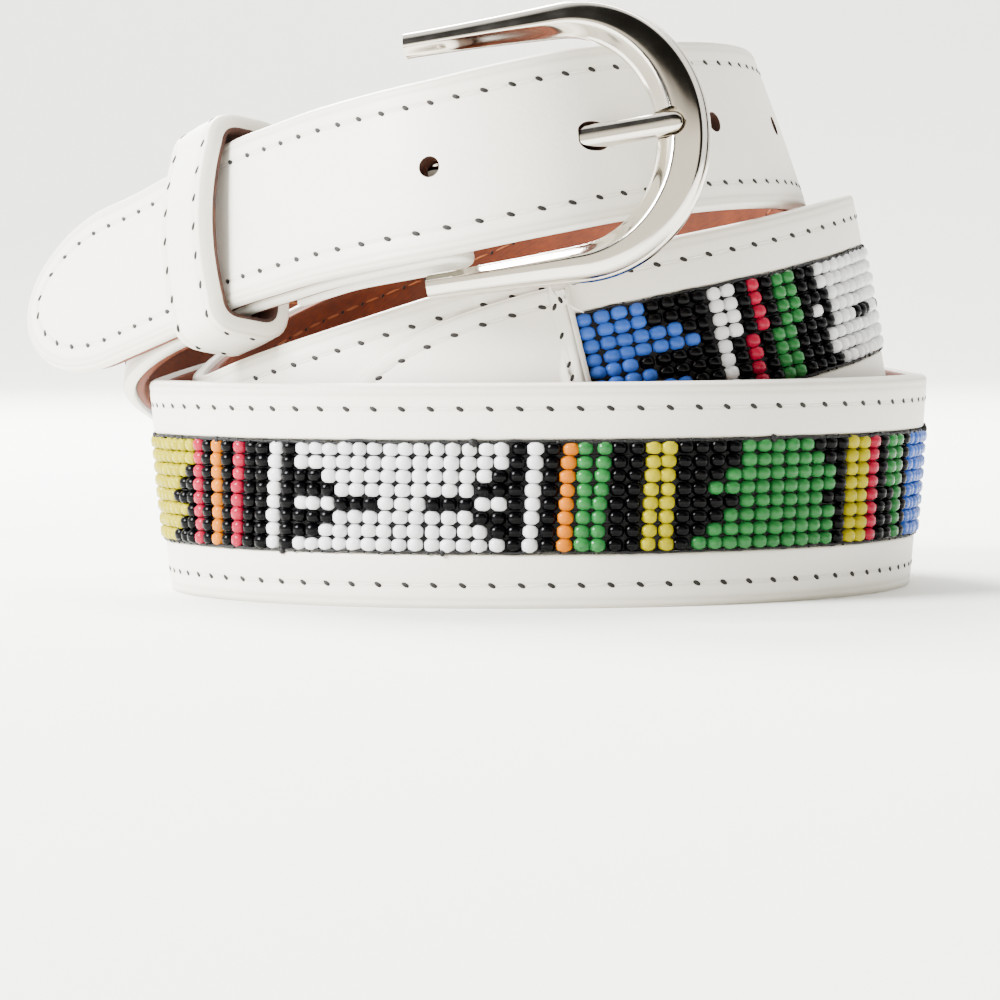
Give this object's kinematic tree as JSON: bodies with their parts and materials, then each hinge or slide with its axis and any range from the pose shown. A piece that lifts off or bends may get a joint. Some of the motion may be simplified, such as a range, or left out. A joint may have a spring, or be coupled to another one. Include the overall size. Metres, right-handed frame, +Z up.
{
  "type": "beaded leather belt",
  "caption": "Leather belt with a woven bead inlay and a horseshoe buckle, fastened and rolled into a coil that stands on its edge.",
  "frame": {"origin": "on the floor, below the middle of the whole rolled belt", "axes": "+Z up, the coil's axis along Z, the buckle faces -Y and the billet's tip points to -X"},
  "size_m": [0.1428, 0.1276, 0.0879],
  "materials": {
    "white_leather": "smooth off-white leather with turned edges",
    "tan_lining": "matte tan-orange lining leather",
    "glass_beads": "opaque glossy glass seed beads in eight colours",
    "nickel": "polished nickel plate"
  },
  "bodies": {
    "root": {"billet_strap": "white_leather", "bead_strap": "white_leather", "buckle_strap": "white_leather", "strap_lining": "tan_lining", "bead_band": "glass_beads", "billet_tab": "white_leather", "buckle_tab": "white_leather", "keeper": "white_leather", "buckle_rim": "nickel", "buckle_prong": "nickel"}
  },
  "joints": []
}
